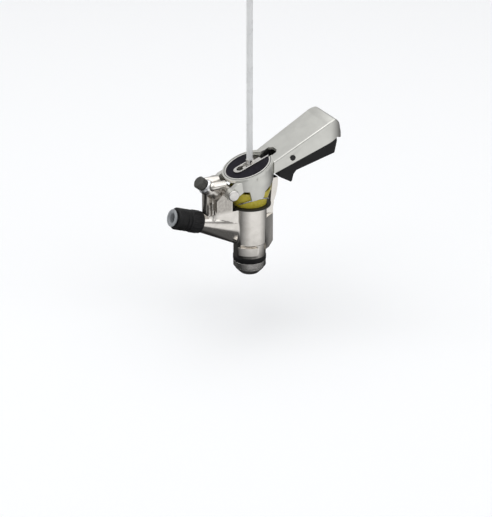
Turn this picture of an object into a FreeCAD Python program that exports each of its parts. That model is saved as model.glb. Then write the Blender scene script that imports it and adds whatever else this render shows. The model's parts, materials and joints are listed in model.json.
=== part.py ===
import FreeCAD, Part
import math
import os

# Keg coupler: lever-operated tapping head with gas inlet, relief valve and beer line.
# Millimetres. Origin on the probe axis at the shoulder of the keg neck, +Z up, +X towards the handle.

V = FreeCAD.Vector

# Fits and clearances
running_fit = 0.05
face_gap = 0.3
open_gap = 0.6
pocket_fit = 0.02

# Body
barrel_r = 17.8
barrel_top = 60.0
neck_r = 16.7
neck_top = 20.0
chamber_r = 13.4
web_thickness = 13.0
gland_depth = 2.4
gland_width = 3.4
lug_r = 21.5
lug_low = 11.3
lug_height = 8.4
lug_arc = 60.0
lug_angle = 58.0
spigot_r = 14.6
rib_half = 4.5
rib_x = 24.9
rib_low = 13.0
rib_slant = 4.2
rib_below_top = 12.0
rib_sink = 0.3

# Neck parts
nose_height = 6.5
nose_r = 16.8
seal_height = 5.9
seal_r = 17.1
mouth_ring_r = 22.0
mouth_ring_height = 3.0
mouth_ring_bore = 15.6
cup_height = 17.0
cup_low_r = 17.5
cup_top_r = 21.5
cup_wall = 1.3
clip_wire_r = 0.75
clip_arch_r = 24.0
clip_arch_z = 50.0

# Lever hinge and travel
hinge_x = -30.0
hinge_z = 84.0
hinge_pin_r = 3.5
hinge_boss_r = 6.0
ear_in = 15.1
ear_out = 20.4
boss_out = 22.6
pin_out = 24.4
pin_head_r = 5.8
pin_head_round = 0.7
clip_thickness = 1.0
clip_gap = 3.2
lever_travel = 30.0
post_wall = 4.3
post_slant = 2.4
post_top = 86.0
post_root = 12.0

# Probe
probe_r = 7.5
beer_bore_r = 4.0
drive_pin_x = -4.0
drive_pin_z = 90.9
drive_pin_r = 2.5
drive_pin_tip = 10.5
head_r = 14.5
head_core_r = 9.0
groove_play = 0.3
head_flange = 1.8
probe_seat = 4.5
tip_r = 15.0
tip_end_r = 9.6
tip_end_z = -14.0
tip_seat = 3.0
tip_core_r = 11.4
tip_sleeve_r = 10.1
ball_r = 4.2
ball_lift = 1.4

# Beer line
line_r = 3.175
line_bore_fit = 0.045
line_top = 306.0
line_cavity = 2.2
line_seal_high = 5.6
line_collet_travel = 1.0
ferrule_length = 12.0
ferrule_wall = 1.0
end_stub = 18.0
hex_r = 6.4
hex_height = 8.0

# Line guide, a bracket on the probe's head that fills the lever's slot and holds the line upright
guide_gap = 0.4
guide_roof = 4.0
guide_leg_x = 7.0
guide_end_x = 13.0
guide_round_x = -3.5
guide_drop = 1.0
guide_bore_fit = 0.15
collar_height = 6.0
dowel_r = 1.0
dowel_depth = 1.2

# Gas inlet, measured along its own axis from the barrel axis
gas_angle = 19.5
gas_root_z = 31.7
gas_root_r = 16.5
gas_root_half = 7.6
gas_root_fillet = 2.0
gas_seam_shortest = 3.0
gas_end_r = 10.0
gas_cone_start = 12.0
gas_cone_end = 60.7
gas_bore_r = 5.2
union_r = 11.3
union_length = 14.5
union_lip = 3.0
union_ribs = 12
fitting_length = 15.3
fitting_stop = 1.8
cap_length = 4.5
tube_bore_r = 4.85
collet_flange_r = 9.0
collet_travel = 1.5

# Relief valve, measured along its own axis from the knob's centre
relief_x = -56.0
relief_z = 94.4
relief_angle = 40.0
relief_boss_r = 8.0
relief_chamber_r = 5.0
relief_stem_r = 1.6
relief_knob_r = 6.5
relief_travel = 4.0
relief_knurls = 16

# Lever head
ring_x = -2.6
ring_z = 104.0
ring_tilt = 20.0
ring_r = 27.0
disc_r = 23.0
disc_thickness = 1.8
ring_depth = 3.4
skirt_wall = 2.0
skirt_low_r = 24.8
skirt_low = 74.0
skirt_side = 84.7
skirt_straight = 95.0
skirt_shift = -2.0
ear_drop = 2.3
tab_x = -9.5
tab_width = 12.9
slot_half = 4.3
slot_start = -12.3
disc_notch_x = 10.2
ring_groove_r = 24.9
bezel_start = -15.7
bezel_width = 1.6
bezel_rise = 1.2
window_half = 6.5

# Grip and trigger
grip_slope = 27.4
grip_root_x = 24.0
grip_root_z = 113.4
grip_root_half = 19.5
grip_end_half = 22.5
grip_wall = 2.2
grip_shoulder = 78.0
grip_edge_r = 1.6
crown_length = 9.5
crown_rise = 3.5
nose_length = 9.0
nose_drop = 13.4
end_length = 7.0
end_drop = 13.0
under_setback = 12.5
under_slope = 20.0
grip_depth = 13.5
window_end = 29.5
window_far = 9.5
trigger_half = 15.0
trigger_pin_x = 39.0
trigger_pin_z = 111.4
trigger_pin_r = 2.0
trigger_head_r = 2.9
trigger_front_x = 26.5
trigger_front_top = 99.0
trigger_front_low = 90.9
finger_tip_x = 39.6
finger_tip_z = 83.2
finger_back_x = 42.8
trigger_under_x = 46.3
trigger_under_z = 94.7
trigger_setback = 10.0
trigger_end_height = 19.3
trigger_top = 115.0
trigger_wall = 2.0
latch_pin_r = 2.0
latch_pin_half = 9.0
latch_gap = 0.45
latch_turn = 12.0


def box(x0, x1, y0, y1, z0, z1):
    return Part.makeBox(x1 - x0, y1 - y0, z1 - z0, V(x0, y0, z0))


def cylinder(radius, low, high):
    return Part.makeCylinder(radius, high - low, V(0, 0, low))


def ring(outer, inner, low, high):
    return cylinder(outer, low, high).cut(cylinder(inner, low - 1, high + 1))


def turned(points):
    corners = [V(r, 0, z) for r, z in points]
    wire = Part.makePolygon(corners + corners[:1])
    return Part.Face(wire).revolve(V(0, 0, 0), V(0, 0, 1), 360)


def flat_prism(points, low, high):
    corners = [V(x, low, z) for x, z in points]
    wire = Part.makePolygon(corners + corners[:1])
    return Part.Face(wire).extrude(V(0, high - low, 0))


def both_sides(shape):
    return shape.fuse(shape.mirror(V(0, 0, 0), V(0, 1, 0)))


def pin_y(radius, x, z, low, high):
    return Part.makeCylinder(radius, high - low, V(x, low, z), V(0, 1, 0))


def along(shape, base, degrees):
    # Turn +Z to point up and towards -X at the given angle above level, then move to the base.
    placed = shape.copy()
    placed.rotate(V(0, 0, 0), V(0, 1, 0), degrees - 90)
    placed.translate(base)
    return placed


def tilted(shape):
    # From the lever ring's own frame, with its top face at zero, to the part's frame.
    placed = shape.copy()
    placed.rotate(V(0, 0, 0), V(0, 1, 0), -ring_tilt)
    placed.translate(V(ring_x, 0, ring_z))
    return placed


def about_hinge(x, z, degrees):
    # A point turned about the hinge; positive lowers the handle side.
    a = math.radians(degrees)
    dx = x - hinge_x
    dz = z - hinge_z
    return hinge_x + dx * math.cos(a) + dz * math.sin(a), hinge_z - dx * math.sin(a) + dz * math.cos(a)


def grip_top(x):
    return grip_root_z + (x - grip_root_x) * math.tan(math.radians(grip_slope))


def grip_under(x):
    return grip_root_z - grip_depth + (x - grip_root_x) * math.tan(math.radians(under_slope))


def ring_plane(x):
    # Height of the ring's top face at this x.
    return ring_z + (x - ring_x) * math.tan(math.radians(ring_tilt))


def fuse_all(shapes):
    return shapes[0].multiFuse(shapes[1:]).removeSplitter()


def save(name, shape):
    solids = shape.Solids
    if not solids or not shape.isValid():
        print("CHECK", name, len(solids), shape.isValid())
    kept = solids[0] if len(solids) == 1 else Part.makeCompound(solids)
    kept.exportStep("parts/" + name + ".step")
    box_now = kept.BoundBox
    print(name, len(solids), round(kept.Volume, 1), [round(v, 1) for v in
          (box_now.XMin, box_now.XMax, box_now.YMin, box_now.YMax, box_now.ZMin, box_now.ZMax)])


# Values that follow from the sizes above
probe_travel = drive_pin_z - about_hinge(drive_pin_x, drive_pin_z, lever_travel)[1]
groove_low = drive_pin_z - drive_pin_r - groove_play
groove_high = drive_pin_z + drive_pin_r + groove_play
head_low = groove_low - head_flange
head_top = groove_high + head_flange
line_stop = head_low - 3.0
web_low = barrel_top - web_thickness
grip_start = grip_root_x - 6
grip_middle = grip_root_x + 36
crown_x = grip_shoulder + crown_length
crown_z = grip_top(grip_shoulder) + crown_rise
nose_x = crown_x + nose_length
nose_z = crown_z - nose_drop
grip_end_x = nose_x + end_length
tip_z = nose_z - end_drop
under_end_x = grip_end_x - under_setback
trigger_end_x = grip_end_x - trigger_setback
trigger_end_top = grip_under(trigger_end_x) - face_gap
trigger_end_low = trigger_end_top - trigger_end_height
post_inner_x = mouth_ring_r + open_gap
post_radius = math.hypot(post_inner_x + post_wall - hinge_x, hinge_z - barrel_top - 2)
cup_low = barrel_top + mouth_ring_height
cup_top = cup_low + cup_height
gas_base = V(0, 0, gas_root_z)
relief_base = V(relief_x, 0, relief_z)
union_start = gas_cone_end + face_gap
union_end = union_start + union_length
fitting_start = union_end + face_gap
fitting_end = fitting_start + fitting_length
os.makedirs("parts", exist_ok=True)
print("probe travel", round(probe_travel, 3))


def gas(shape):
    return along(shape, gas_base, gas_angle)


def relief(shape):
    return along(shape, relief_base, relief_angle)


# Relief valve lengths along its axis
tower_x = -45.5
tower_r = 8.0
tower_low = 50.0
tower_high = 86.0
recess_low = 60.0
recess_high = 82.5
recess_depth = 3.6
pillar_r = 1.8
pillar_top = 71.5
finger_r = 4.6
finger_y = 7.6
finger_z = 91.3
finger_length = 13.0
block_half = 12.6
block_low = 64.5
web_half = 7.0
boss_low = -24.0
boss_high = -8.5
cap_height = 4.0
relief_floor = -21.0
knob_low = -4.0
knob_high = 4.2

# Gas spigot inside the union nut
spigot_end = gas_cone_end + 7.5
gas_spigot_r = 8.4
retainer_depth = 8.5
retainer_r = 7.4
washer_height = 1.2
inlet_r = 3.6
tube_stop = fitting_start + fitting_stop
collet_flange = 1.8


def bayonet_lugs():
    band = ring(lug_r, neck_r - 1, lug_low, lug_low + lug_height)
    lugs = []
    for turn in (lug_angle, lug_angle + 180):
        wedge = Part.makeCylinder(lug_r + 1, lug_height + 2, V(0, 0, lug_low - 1), V(0, 0, 1), lug_arc)
        wedge.rotate(V(0, 0, 0), V(0, 0, 1), turn - lug_arc / 2)
        lugs.append(band.common(wedge))
    return lugs


def rib_wedge(outline):
    # Seen from above the rib's flanks leave the barrel almost along its tangents.
    inner_r = barrel_r - rib_sink
    turn = math.atan2(rib_half, rib_x) + math.acos(inner_r / math.hypot(rib_x, rib_half))
    x = inner_r * math.cos(turn)
    y = inner_r * math.sin(turn)
    corners = [V(0, y, 0), V(x, y, 0), V(rib_x, rib_half, 0), V(rib_x, -rib_half, 0), V(x, -y, 0),
               V(0, -y, 0), V(0, y, 0)]
    plan = Part.Face(Part.makePolygon(corners)).extrude(V(0, 0, barrel_top - rib_below_top))
    return plan.common(flat_prism(outline, -barrel_r, barrel_r))


def back_rib():
    root = barrel_r - 6
    outline = [(root, rib_low), (barrel_r, rib_low), (rib_x, rib_low + rib_slant),
               (rib_x, barrel_top - 6), (post_outer_x(barrel_top), barrel_top), (root, barrel_top)]
    return flat_prism(outline, -rib_half, rib_half).fuse(rib_wedge(outline))


def hinge_block():
    # A waisted block behind the cup carries the hinge; a thinner web ties it to the gas branch.
    front = hinge_x + hinge_boss_r - 0.2
    back = hinge_x - hinge_boss_r
    waist = hinge_x - 0.5
    far = back - 8
    shoulder = hinge_z - 8
    outline = [(front, hinge_z), (back, hinge_z), (far, shoulder), (far, block_low), (waist, block_low),
               (waist, hinge_z - 12), (front, hinge_z - 4)]
    block = flat_prism(outline, -block_half, block_half)
    behind_cup = -mouth_ring_r - open_gap * 2
    root = -barrel_r + 4
    web_high = barrel_top - 0.5
    outline = [(root, 42), (root, web_high), (behind_cup, web_high), (behind_cup, shoulder),
               (far, shoulder), (far + 2, 46)]
    web = flat_prism(outline, -web_half, web_half)
    boss = pin_y(hinge_boss_r, hinge_x, hinge_z, -ear_in + open_gap, ear_in - open_gap)
    return [block, web, boss]


def relief_tower():
    tower = Part.makeCylinder(tower_r, tower_high - tower_low, V(tower_x, 0, tower_low))
    tower = tower.cut(gas(cylinder(union_r + open_gap, gas_cone_end, gas_cone_end + union_length)))
    recess = box(tower_x - 5.8, tower_x + 3.7, recess_depth, tower_r + 1, recess_low, recess_high)
    tower = tower.cut(both_sides(recess))
    pillars = []
    for side in (-1, 1):
        for shift in (-3.5, 0.3):
            place = V(tower_x + shift, side * (recess_depth + pillar_r - 0.4), recess_low - 1)
            pillars.append(Part.makeCylinder(pillar_r, pillar_top - recess_low + 1, place))
    return [tower] + pillars


def relief_arms():
    arms = []
    for side in (-1, 1):
        place = V(tower_x, side * finger_y, finger_z)
        arms.append(Part.makeCylinder(finger_r, finger_length, place, V(1, 0, 0)))
        arms.append(Part.makeSphere(finger_r, place))
    return arms


def gas_branch():
    # A tall oval where it leaves the barrel, round where the spigot starts.
    root = Part.Ellipse(V(0, 0, gas_cone_start), gas_root_r, gas_root_half).toShape()
    end = Part.Circle(V(0, 0, gas_cone_end), V(0, 0, 1), gas_end_r).toShape()
    loft = Part.makeLoft([Part.Wire([root]), Part.Wire([end])], True, True)
    stem = Part.Face(Part.Wire([root])).extrude(V(0, 0, -gas_cone_start))
    return gas(loft.fuse(stem))


def with_branch(barrel):
    # The branch runs into the barrel in a round fillet on both of its sides.
    joined = barrel.fuse(gas_branch()).removeSplitter()
    seam = [e for e in joined.Edges if is_seam(e)]
    return joined.makeFillet(gas_root_fillet, seam)


def is_seam(edge):
    middle = edge.valueAt((edge.FirstParameter + edge.LastParameter) / 2)
    on_barrel = abs(math.hypot(middle.x, middle.y) - barrel_r) < 0.05
    on_wall = neck_top + 2 < middle.z < barrel_top - 0.5
    return on_barrel and on_wall and middle.x < 0 and edge.Length > gas_seam_shortest


def coupler_body():
    barrel = cylinder(barrel_r, neck_top, barrel_top)
    edge = [e for e in barrel.Edges if abs(e.BoundBox.ZMax - neck_top) < 0.01 and e.BoundBox.ZLength < 0.01]
    barrel = barrel.makeChamfer(1.0, edge)
    neck = cylinder(neck_r, seal_height + face_gap, neck_top)
    spigot = cylinder(spigot_r, -nose_height + 1.0, seal_height + 1)
    gas_spigot = gas(cylinder(gas_spigot_r, gas_cone_end - 1, spigot_end))
    relief_boss = relief(cylinder(relief_boss_r, boss_low, boss_high))
    beam = box(tower_x - 0.5, tower_x + 11.5, -6, 6, 66, 90)
    barrel = with_branch(barrel)
    solid = fuse_all([barrel, neck, spigot, back_rib(), gas_spigot, relief_boss, beam, latch_post()]
                     + hinge_block() + relief_tower() + relief_arms() + bayonet_lugs())
    gland = barrel_top - 8
    channel_x = tower_x + 4.5
    cuts = [cylinder(chamber_r, -nose_height - 1, web_low),
            cylinder(probe_r + running_fit, web_low - 1, barrel_top + 1),
            ring(probe_r + gland_depth, probe_r - 1, gland, gland + gland_width),
            gas(cylinder(gas_bore_r, 8, spigot_end + 1)),
            gas(cylinder(retainer_r, spigot_end - retainer_depth, spigot_end + 1)),
            pin_y(hinge_pin_r + pocket_fit, hinge_x, hinge_z, -ear_in, ear_in),
            relief(cylinder(relief_chamber_r, relief_floor, boss_high + 1)),
            Part.makeCylinder(2.5, 36, V(channel_x, 0, 46)),
            relief(cylinder(relief_boss_r + face_gap, boss_high, knob_high + 10))]
    for cut in cuts:
        solid = solid.cut(cut)
    return solid


def post_outer_x(z):
    return hinge_x + math.sqrt(post_radius ** 2 - (z - hinge_z) ** 2)


def latch_post():
    low = barrel_top - post_root
    half = slot_half - open_gap
    far = post_inner_x + 20
    sector = pin_y(post_radius, hinge_x, hinge_z, -half, half)
    outline = [(post_inner_x, low), (post_inner_x, cup_low + 1), (post_inner_x + post_slant, post_top),
               (far, post_top), (far, low)]
    return sector.common(flat_prism(outline, -half, half))


def nose_ring():
    bore = spigot_r + pocket_fit
    low = -nose_height
    return turned([(bore, face_gap), (bore, low + 1), (chamber_r + 0.6, low + 1), (chamber_r + 0.6, low),
                   (nose_r - 0.8, low), (nose_r, low + 0.8), (nose_r, face_gap)])


def neck_seal():
    low = face_gap
    high = seal_height + face_gap
    bore = spigot_r + pocket_fit
    return turned([(bore, low), (nose_r - 0.1, low), (seal_r, low + 1.2), (seal_r, high - 0.8),
                   (seal_r - 0.8, high), (bore, high)])


def mouth_ring():
    low = barrel_top
    return turned([(mouth_ring_bore, low), (barrel_r + 0.8, low), (mouth_ring_r, low + 1.2),
                   (mouth_ring_r, cup_low - 0.4), (mouth_ring_r - 0.4, cup_low), (mouth_ring_bore, cup_low)])


def cup_outer_r(z):
    share = min(max((z - cup_low - 2.0) / (cup_height - 4.0), 0.0), 1.0)
    return cup_low_r + share * (cup_top_r - cup_low_r)


def guide_cup():
    foot_r = mouth_ring_bore - pocket_fit
    bend = cup_low + 2.0
    flare = cup_top - 2.0
    floor = barrel_top + 1.6
    lip_r = cup_top_r - cup_wall
    outer = [(0, barrel_top), (foot_r, barrel_top), (foot_r, cup_low), (cup_low_r, cup_low),
             (cup_low_r, bend), (cup_top_r, flare), (cup_top_r, cup_top), (0, cup_top)]
    inner = [(0, floor), (foot_r - cup_wall, floor), (cup_low_r - cup_wall - 0.8, bend),
             (lip_r, flare), (lip_r, cup_top + 1), (0, cup_top + 1)]
    cup = turned(outer).cut(turned(inner)).cut(cylinder(probe_r + open_gap, barrel_top - 1, barrel_top + 3))
    swing = hinge_x + math.hypot(drive_pin_x - hinge_x, drive_pin_z - hinge_z)
    room = drive_pin_r + open_gap
    low = drive_pin_z - probe_travel - room
    return cup.cut(box(drive_pin_x - room, swing + room, -30, 30, low, cup_top + 1))


def retaining_clip():
    # Arched wire that follows the cup, highest at the cup's -Y and +Y sides.
    clips = []
    for side in (-1, 1):
        points = []
        for step in range(-5, 6):
            turn = math.radians(side * 90 + step * 12.5)
            radius = cup_low_r
            for _ in range(6):
                x = radius * math.cos(turn)
                z = clip_arch_z + math.sqrt(clip_arch_r ** 2 - x ** 2)
                radius = cup_outer_r(z) + clip_wire_r * 1.06 + 0.01
            points.append(V(radius * math.cos(turn), radius * math.sin(turn), z))
        curve = Part.BSplineCurve()
        curve.interpolate(points)
        path = Part.Wire([curve.toShape()])
        start = curve.tangent(curve.FirstParameter)[0]
        section = Part.Wire([Part.makeCircle(clip_wire_r, points[0], start)])
        clips.append(path.makePipeShell([section], True, True))
    return Part.makeCompound(clips)


def hinge_pin():
    # Domed head on the -Y side; the clip holds the plain +Y end.
    seat = boss_out + face_gap
    high = pin_out - pin_head_round
    shaft = pin_y(hinge_pin_r, hinge_x, hinge_z, -high, pin_out)
    head = pin_y(pin_head_r, hinge_x, hinge_z, -high, -seat)
    rim = pin_head_r - pin_head_round
    dome = Part.makeCone(pin_head_r, rim, pin_head_round, V(hinge_x, -high, hinge_z), V(0, -1, 0))
    return fuse_all([shaft, head, dome])


def hinge_clip():
    low = boss_out + face_gap
    high = low + clip_thickness
    disc = pin_y(pin_head_r - 0.2, hinge_x, hinge_z, low, high)
    disc = disc.cut(pin_y(hinge_pin_r + pocket_fit, hinge_x, hinge_z, low - 1, high + 1))
    half = clip_gap / 2
    return disc.cut(box(hinge_x - pin_head_r - 1, hinge_x, low - 1, high + 1, hinge_z - half, hinge_z + half))


# Gas inlet

def gas_check_valve():
    high = spigot_end - 1.2
    low = high - 6.5
    rim = retainer_r - 0.3
    outer = [(0, low), (1.2, low), (4.2, high - 2.5), (rim, high - 2.0), (rim, high), (3.6, high),
             (3.4, high - 2.0), (0.4, low + 0.8), (0, low + 0.8)]
    return gas(turned(outer))


def check_valve_retainer():
    return gas(ring(retainer_r - pocket_fit, 4.5, spigot_end - 1.2, spigot_end))


def gas_washer():
    return gas(ring(gas_spigot_r - 0.1, 5.0, spigot_end, spigot_end + washer_height))


def gas_nut():
    bore = gas_spigot_r + pocket_fit
    neck_bore = shank_r() + pocket_fit
    lip = union_end - union_lip
    edge = 0.8
    nut = turned([(bore, union_start), (union_r - edge, union_start), (union_r, union_start + edge),
                  (union_r, union_end - edge), (union_r - edge, union_end), (neck_bore, union_end),
                  (neck_bore, lip), (bore, lip)])
    for step in range(union_ribs):
        groove = Part.makeCylinder(0.7, union_length - 5, V(union_r + 0.35, 0, union_start + 2.5))
        groove.rotate(V(0, 0, 0), V(0, 0, 1), step * 360 / union_ribs)
        nut = nut.cut(groove)
    return gas(nut)


def shank_r():
    return gas_spigot_r - 1.8


def gas_fitting():
    flange_low = spigot_end + washer_height
    flange_high = union_end - union_lip - 0.1
    flange_r = gas_spigot_r - 0.1
    shank = shank_r()
    cap_start = fitting_end - cap_length
    groove_z = fitting_start + 3.4
    groove_r = union_r - 0.9
    edge = 0.6
    oring_low = tube_stop + 2.4
    tube_r = tube_bore_r + 0.1
    return gas(turned([
        (inlet_r, flange_low), (flange_r, flange_low), (flange_r, flange_high), (shank, flange_high),
        (shank, fitting_start), (union_r - edge, fitting_start), (union_r, fitting_start + edge),
        (union_r, groove_z), (groove_r, groove_z + 0.5), (groove_r, groove_z + 1.5),
        (union_r, groove_z + 2.0), (union_r, cap_start), (retainer_bore(), cap_start),
        (retainer_bore(), oring_high()), (oring_r(), oring_high()), (oring_r(), oring_low),
        (tube_r, oring_low), (tube_r, tube_stop), (inlet_r, tube_stop)]))


def oring_high():
    return tube_stop + 5.2


def retainer_bore():
    return tube_bore_r + 3.2


def oring_r():
    return tube_bore_r + 2.5


def gas_oring():
    wire = (oring_r() - tube_bore_r) / 2 - 0.06
    return gas(Part.makeTorus(tube_bore_r + 0.06 + wire, wire, V(0, 0, tube_stop + 3.8)))


def gas_end_cap():
    cap_start = fitting_end - cap_length
    mouth = collet_neck_r() + 0.3
    return gas(turned([(retainer_bore(), cap_start), (union_r, cap_start), (union_r, fitting_end - 1.2),
                       (union_r - 1.2, fitting_end), (mouth, fitting_end), (mouth, fitting_end - 2.0),
                       (retainer_bore(), fitting_end - 3.2)]))


def collet_neck_r():
    return tube_bore_r + 1.5


def gas_collet():
    neck = collet_neck_r()
    flange_low = fitting_end + collet_travel + face_gap
    flange_high = flange_low + collet_flange
    low = oring_high() + collet_travel + face_gap
    barb_r = retainer_bore() - 0.4
    rim = collet_flange_r - 0.6
    lead_in = 1.4
    collet = turned([(tube_bore_r, low), (neck, low), (barb_r, low + 0.8), (neck, low + 2.6),
                     (neck, flange_low), (rim, flange_low), (collet_flange_r, flange_low + 0.6),
                     (collet_flange_r, flange_high - 0.6), (rim, flange_high),
                     (tube_bore_r + lead_in, flange_high), (tube_bore_r, flange_high - lead_in)])
    for step in range(2):
        slot = box(-12, 12, -0.5, 0.5, low - 1, low + 4.0)
        slot.rotate(V(0, 0, 0), V(0, 0, 1), 45 + 90 * step)
        collet = collet.cut(slot)
    return gas(collet)


# Relief valve

def relief_cap():
    low = boss_high
    bore = relief_stem_r + running_fit
    profile = [(bore, low), (relief_boss_r - 0.2, low), (relief_boss_r - 0.2, low + 2.2),
               (relief_boss_r - 1.6, low + cap_height), (bore, low + cap_height)]
    return relief(turned(profile))


def relief_stem():
    return relief(cylinder(relief_stem_r, relief_floor + 2.4, knob_high - 1.5))


def relief_seal():
    bore = relief_stem_r + pocket_fit
    low = relief_floor + face_gap / 3
    profile = [(0, low), (relief_chamber_r - 0.5, low), (relief_chamber_r - 0.5, low + 2.2), (0, low + 2.2)]
    guide = relief(ring(relief_chamber_r - 0.4, bore, low + 2.3, low + 3.6))
    return relief(turned(profile)), guide


def relief_knob():
    low = knob_low
    bore = relief_stem_r + pocket_fit
    cap = knob_high - 1.5
    edge = 1.4
    knob = turned([(bore, low), (relief_knob_r - 1.5, low), (relief_knob_r, low + 1.0),
                   (relief_knob_r, knob_high - edge), (relief_knob_r - edge, knob_high), (0, knob_high),
                   (0, cap), (bore, cap)])
    for step in range(relief_knurls):
        groove = Part.makeCylinder(0.5, knob_high - knob_low - 0.8, V(relief_knob_r + 0.2, 0, low - 1))
        groove.rotate(V(0, 0, 0), V(0, 0, 1), step * 360 / relief_knurls)
        knob = knob.cut(groove)
    return relief(knob)


def helix_spring(coil_r, wire_r, low, high, turns):
    height = high - low - 2 * wire_r
    helix = Part.makeHelix(height / turns, height, coil_r)
    start = Part.makeCircle(wire_r, V(coil_r, 0, 0), V(0, coil_r, height / turns / math.tau))
    spring = Part.Wire(helix).makePipeShell([Part.Wire([start])], True, True)
    spring.translate(V(0, 0, low + wire_r))
    return spring


def relief_spring():
    low = relief_floor + face_gap / 3 + 3.6 + 0.1
    return relief(helix_spring(3.4, 0.45, low, boss_high - 0.1, 5))


# Probe

def probe_tube():
    return ring(probe_r, beer_bore_r, -1.0, head_low - probe_seat)


def cross_head():
    # The driving pins run in its groove; the line's stop, seal and collet sit in its bore.
    foot_r = probe_r + 3
    foot_bore = probe_r + pocket_fit
    bore = line_r + line_bore_fit
    cavity = bore + line_cavity
    mouth = cavity - 0.7
    seal_low = line_stop + 3.0
    seal_high = line_stop + line_seal_high
    seal_r = bore + 1.7
    way_r = 2.3
    tube_top = head_low - probe_seat
    foot_low = head_low - 7
    head = turned([(foot_bore, foot_low), (foot_r, foot_low), (foot_r, head_low), (head_r, head_low),
                   (head_r, groove_low), (head_core_r, groove_low), (head_core_r, groove_high),
                   (head_r, groove_high), (head_r, head_top - 0.6), (head_r - 0.6, head_top),
                   (mouth, head_top), (mouth, head_top - 1.4), (cavity, head_top - 2.2),
                   (cavity, seal_high), (seal_r, seal_high), (seal_r, seal_low), (bore, seal_low),
                   (bore, line_stop), (way_r, line_stop), (way_r, tube_top), (foot_bore, tube_top)])
    return head.cut(guide_dowels(dowel_r + pocket_fit, dowel_depth + pocket_fit))


def guide_dowels(radius, depth):
    # Two short pegs that seat the line guide in the head.
    low = head_top - depth
    inset = dowel_r + 0.6
    near = Part.makeCylinder(radius, depth + 1, V(guide_leg_x + inset, 0, low))
    far = Part.makeCylinder(radius, depth + 1, V(guide_end_x - inset, 0, low))
    return near.fuse(far)


def line_guide():
    # A leg on the head, a roof that follows the ring's slope, and a collar round the line.
    half = slot_half - guide_gap
    roof_low = head_top + guide_roof
    end_plane = ring_plane(guide_end_x) - guide_drop
    start_x = guide_round_x - half
    start_plane = ring_plane(start_x) - guide_drop
    side = flat_prism([(guide_leg_x, head_top), (guide_end_x, head_top), (guide_end_x, end_plane),
                       (start_x, start_plane), (start_x, roof_low), (guide_leg_x, roof_low)], -half, half)
    plan = box(guide_round_x, guide_end_x, -half, half, head_top - 1, end_plane + 1)
    plan = plan.fuse(Part.makeCylinder(half, end_plane + 2 - head_top, V(guide_round_x, 0, head_top - 1)))
    collar = cylinder(half, roof_low, ring_plane(0) - guide_drop + collar_height)
    guide = side.common(plan).fuse(collar).fuse(guide_dowels(dowel_r, dowel_depth))
    return guide.cut(cylinder(line_r + guide_bore_fit, roof_low - 1, ring_z + 40)).removeSplitter()


def line_oring():
    bore = line_r + line_bore_fit
    wire = 0.78
    return Part.makeTorus(bore + 0.06 + wire, wire, V(0, 0, line_stop + 4.3))


def beer_collet():
    # Split ring with a flange above the mouth and a barb inside the cavity.
    bore = line_r + line_bore_fit
    cavity = bore + line_cavity
    neck = cavity - 1.0
    low = line_stop + line_seal_high + line_collet_travel + face_gap
    flange = head_top + line_collet_travel + face_gap
    flange_r = cavity + 0.8
    top = flange + 1.2
    collet = turned([(bore, low), (neck, low), (cavity - 0.3, low + 0.7), (neck, low + 2.2), (neck, flange),
                     (flange_r, flange), (flange_r, top), (bore + 0.5, top), (bore, top - 0.5)])
    slot = box(-9, 9, -0.4, 0.4, low - 1, low + 3.0)
    other = slot.copy()
    other.rotate(V(0, 0, 0), V(0, 0, 1), 90)
    return collet.cut(slot).cut(other)


def probe_tip():
    cavity_r = ball_r + 0.6
    seat_r = ball_r - 1.0
    seat_z = tip_end_z + tip_seat
    flange_top = -nose_height - 0.5
    bore = probe_r + pocket_fit
    core_top = -3.4
    return turned([(cavity_r, -1.0), (bore, -1.0), (bore, 7.0), (tip_sleeve_r, 7.0), (tip_sleeve_r, core_top),
                   (tip_core_r, core_top), (tip_core_r, flange_top), (tip_r, flange_top),
                   (tip_r, flange_top - 1.3), (tip_end_r, tip_end_z), (seat_r, tip_end_z), (seat_r, seat_z),
                   (cavity_r, seat_z)])


def probe_seal():
    low = -nose_height - 0.5
    return ring(chamber_r - 0.2, tip_core_r + pocket_fit, low, low + 1.8)


def ball_place():
    return tip_end_z + tip_seat + math.sqrt(ball_r ** 2 - (ball_r - 1.0) ** 2)


def check_ball():
    return Part.makeSphere(ball_r, V(0, 0, ball_place() + 0.03))


def ball_cage():
    low = ball_place() + ball_r + ball_lift + 0.15
    cage = ring(ball_r + 0.6 - pocket_fit, ball_r - 0.6, low, -1.0)
    bar = box(-ball_r, ball_r, -0.7, 0.7, low, -1.0)
    return cage.fuse(bar)


def gland_oring():
    wire = (gland_depth - running_fit) / 2 - 0.04
    middle = V(0, 0, barrel_top - 8 + gland_width / 2)
    return Part.makeTorus(probe_r + running_fit + wire + 0.01, wire, middle)


def drive_pins():
    root = ring_inner_r() + 1.0
    return both_sides(pin_y(drive_pin_r, drive_pin_x, drive_pin_z, drive_pin_tip, root))


# Lever

def ring_inner_r():
    return ring_r - skirt_wall - 1.3


def skirt_cone(shrink, low, high):
    top_r = ring_r - 0.2 - shrink
    slope = (ring_r - 0.2 - skirt_low_r) / (skirt_straight - skirt_low)
    low_r = skirt_low_r + slope * (low - skirt_low) - shrink
    cone = turned([(0, low), (low_r, low), (top_r, skirt_straight), (top_r, high), (0, high)])
    cone.translate(V(skirt_shift, 0, 0))
    return cone


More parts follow.
